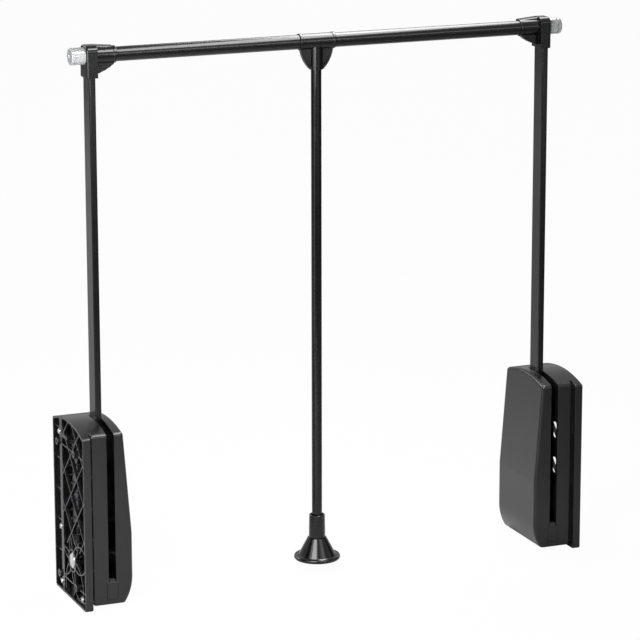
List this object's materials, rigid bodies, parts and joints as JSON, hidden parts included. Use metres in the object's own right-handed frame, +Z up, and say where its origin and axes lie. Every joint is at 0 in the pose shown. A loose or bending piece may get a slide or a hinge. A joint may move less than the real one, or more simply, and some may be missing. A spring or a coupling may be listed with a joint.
{
  "type": "pull-down closet rod",
  "caption": "Wall-mounted wardrobe lift: sprung housings, swinging flat arms, a telescopic hanging rail and a pull rod with a bell-shaped handle, in black.",
  "frame": {"origin": "floor plane under the middle of the bounding box, with the arms upright", "axes": "+X along the rail to the right wall, -Y out of the wardrobe towards the user, +Z up"},
  "size_m": [0.83, 0.148, 0.85],
  "materials": {
    "housing_plastic": "fine matte grain, black",
    "fitting_plastic": "smooth satin, black",
    "inner_plastic": "moulded, dark grey",
    "bush_plastic": "moulded, off-white",
    "clear_glide": "translucent, bluish",
    "black_paint": "gloss black coat",
    "bright_steel": "zinc plated",
    "damper_steel": "drawn tube",
    "spring_steel": "oiled wire",
    "inner_tube_steel": "polished",
    "buffer_rubber": "moulded"
  },
  "bodies": {
    "left_housing": {"left_housing_base": "housing_plastic", "left_housing_cover": "housing_plastic", "left_housing_screws": "bright_steel", "left_pivot_axle": "bright_steel", "left_pivot_washer": "bright_steel", "left_damper_cylinder": "damper_steel", "left_spring_seat": "inner_plastic", "left_coil_spring": "spring_steel", "left_stop_plate": "housing_plastic", "left_stop_buffers": "buffer_rubber"},
    "left_frame": {"left_pivot_bush": "bush_plastic", "left_arm": "black_paint", "left_arm_foot": "bright_steel", "left_arm_rivets": "bright_steel", "left_crank_pin": "bright_steel", "left_connector": "fitting_plastic", "left_connector_screw": "bright_steel", "left_bumper": "clear_glide", "left_bumper_screw": "bright_steel", "left_rail_tube": "black_paint", "left_rail_bush": "bush_plastic"},
    "left_plunger": {"left_plunger": "inner_plastic"},
    "rail_middle": {"rail_inner_tube": "inner_tube_steel"},
    "handle": {"handle_tee": "fitting_plastic", "tee_screw": "bright_steel", "pull_rod": "black_paint", "rod_plug": "inner_plastic", "bell_handle": "fitting_plastic", "bell_screw": "bright_steel"},
    "right_housing": {"right_housing_base": "housing_plastic", "right_housing_cover": "housing_plastic", "right_housing_screws": "bright_steel", "right_pivot_axle": "bright_steel", "right_pivot_washer": "bright_steel", "right_damper_cylinder": "damper_steel", "right_spring_seat": "inner_plastic", "right_coil_spring": "spring_steel", "right_stop_plate": "housing_plastic", "right_stop_buffers": "buffer_rubber"},
    "right_frame": {"right_pivot_bush": "bush_plastic", "right_arm": "black_paint", "right_arm_foot": "bright_steel", "right_arm_rivets": "bright_steel", "right_crank_pin": "bright_steel", "right_connector": "fitting_plastic", "right_connector_screw": "bright_steel", "right_bumper": "clear_glide", "right_bumper_screw": "bright_steel", "right_rail_tube": "black_paint", "right_rail_bush": "bush_plastic"},
    "right_plunger": {"right_plunger": "inner_plastic"}
  },
  "joints": [
    {"name": "frame_swing", "type": "hinge", "parent": "left_housing", "child": "left_frame", "pos_m": [-0.37, 0, 0.06], "axis": [1, 0, 0], "range_deg": [0, 90], "stiffness_Nm_per_rad": 8, "springref_deg": -34.38},
    {"name": "right_housing_shift", "type": "slide", "parent": "left_housing", "child": "right_housing", "axis": [1, 0, 0], "range_m": [0, 0.32]},
    {"name": "rail_left_slide", "type": "slide", "parent": "left_frame", "child": "rail_middle", "axis": [1, 0, 0], "range_m": [0, 0.16]},
    {"name": "rail_right_slide", "type": "slide", "parent": "rail_middle", "child": "right_frame", "axis": [1, 0, 0], "range_m": [0, 0.16]},
    {"name": "handle_swivel", "type": "hinge", "parent": "rail_middle", "child": "handle", "pos_m": [-0.009, 0, 0.834], "axis": [1, 0, 0], "continuous": true},
    {"name": "left_plunger_slide", "type": "slide", "parent": "left_housing", "child": "left_plunger", "axis": [0, 0, 1], "range_m": [0, 0.04525], "deforming": ["left_coil_spring"]},
    {"name": "right_plunger_slide", "type": "slide", "parent": "right_housing", "child": "right_plunger", "axis": [0, 0, 1], "range_m": [0, 0.04525], "deforming": ["right_coil_spring"]}
  ],
  "couplings": [
    {"joint": "rail_left_slide", "follows": "right_housing_shift", "ratio": 0.5},
    {"joint": "rail_right_slide", "follows": "right_housing_shift", "ratio": 0.5},
    {"joint": "left_plunger_slide", "follows": "frame_swing", "m_per_rad": 0.02881},
    {"joint": "right_plunger_slide", "follows": "frame_swing", "m_per_rad": 0.02881}
  ]
}
